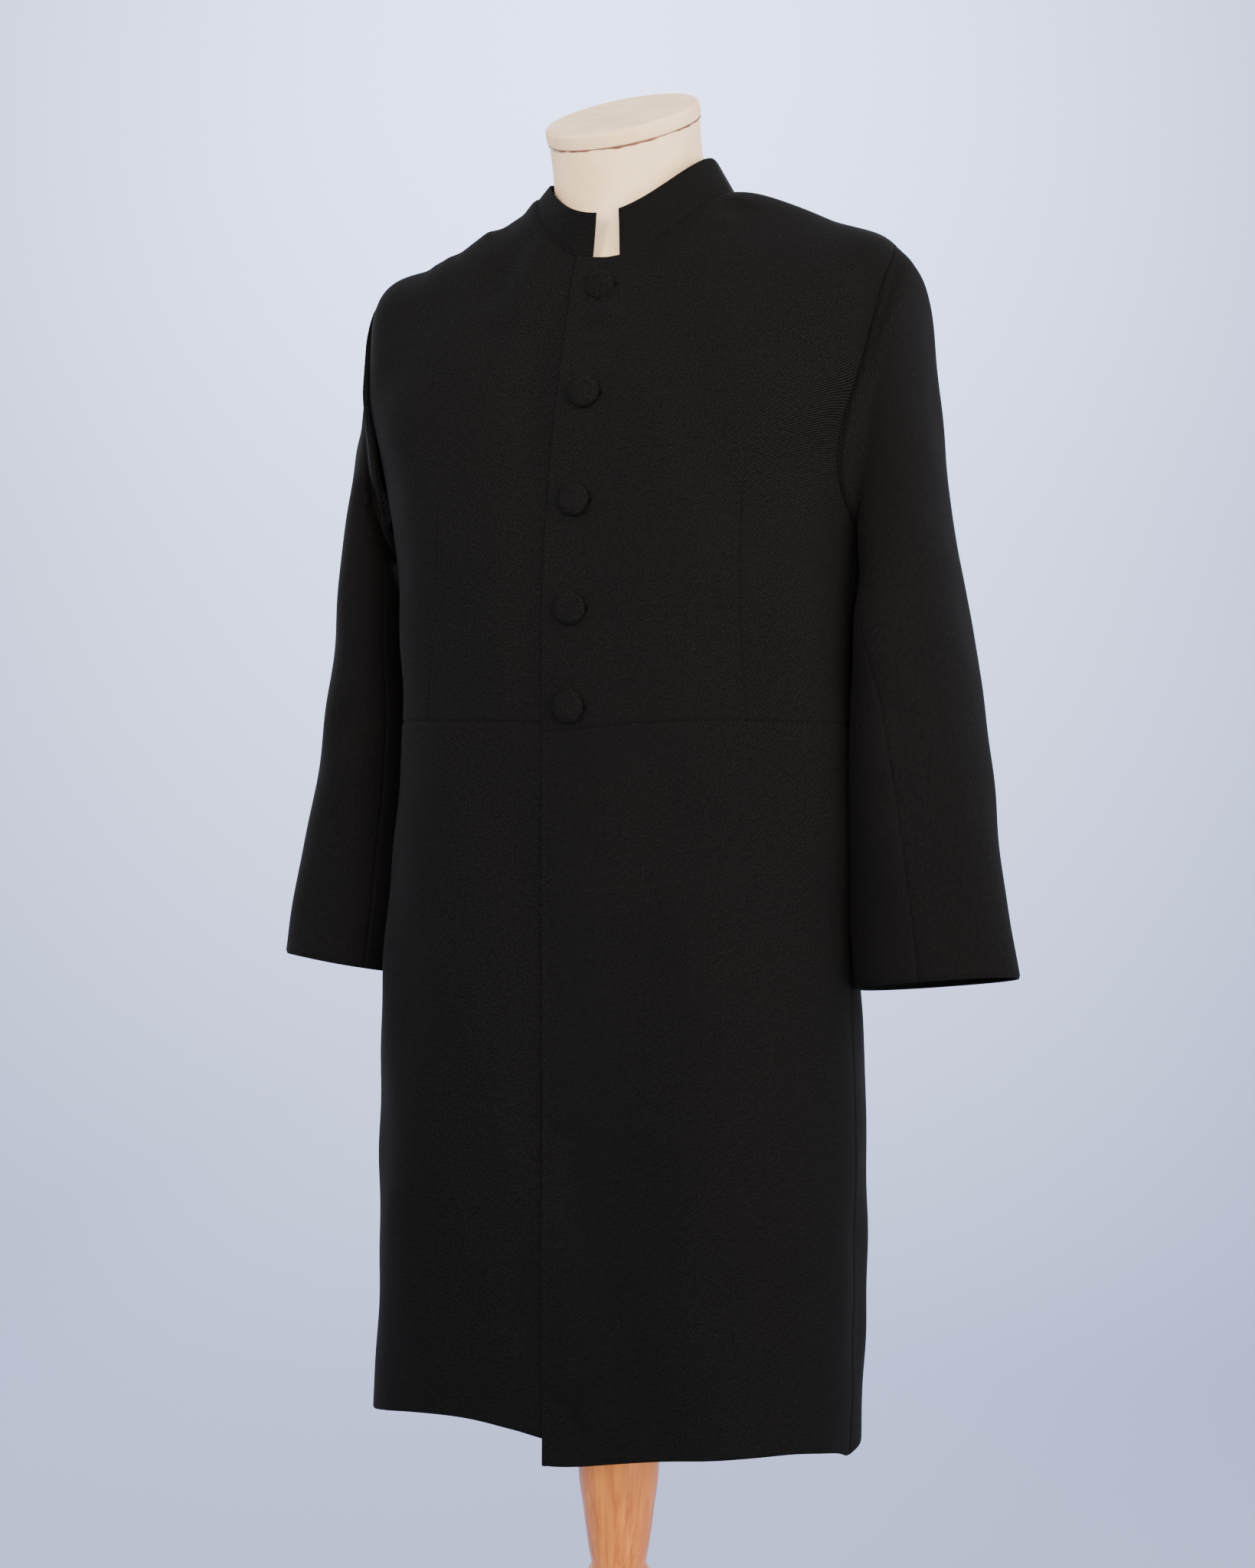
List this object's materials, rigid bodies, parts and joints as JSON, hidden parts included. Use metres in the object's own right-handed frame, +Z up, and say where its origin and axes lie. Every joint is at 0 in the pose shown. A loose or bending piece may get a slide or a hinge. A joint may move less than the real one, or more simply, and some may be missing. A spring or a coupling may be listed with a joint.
{
  "type": "clerical frock coat on a dress form",
  "caption": "Knee-length black wool coat with a stand collar and covered buttons, on a limbless dress form with a turned wooden pole and base.",
  "frame": {"origin": "on the floor, at the middle of the stand's base, under the pole", "axes": "+Z up along the pole; the coat's front faces -Y; the wearer's left is +X"},
  "size_m": [0.6345, 0.38, 1.559],
  "materials": {
    "coat_cloth": "matt black wool coating",
    "button_cover": "buttons covered in the coat's black wool",
    "form_cover": "cream cotton cover",
    "form_wood": "turned beech, satin"
  },
  "bodies": {
    "root": {"bodice_front_left": "coat_cloth", "bodice_front_right": "coat_cloth", "bodice_back_left": "coat_cloth", "bodice_back_right": "coat_cloth", "skirt_front_left": "coat_cloth", "skirt_front_right": "coat_cloth", "skirt_back_left": "coat_cloth", "skirt_back_right": "coat_cloth", "top_sleeve_left": "coat_cloth", "top_sleeve_right": "coat_cloth", "under_sleeve_left": "coat_cloth", "under_sleeve_right": "coat_cloth", "collar_stand": "coat_cloth", "button_1": "button_cover", "button_2": "button_cover", "button_3": "button_cover", "button_4": "button_cover", "button_5": "button_cover", "form_bust": "form_cover", "form_neck_cap": "form_cover", "form_pole": "form_wood", "form_base": "form_wood"}
  },
  "joints": []
}
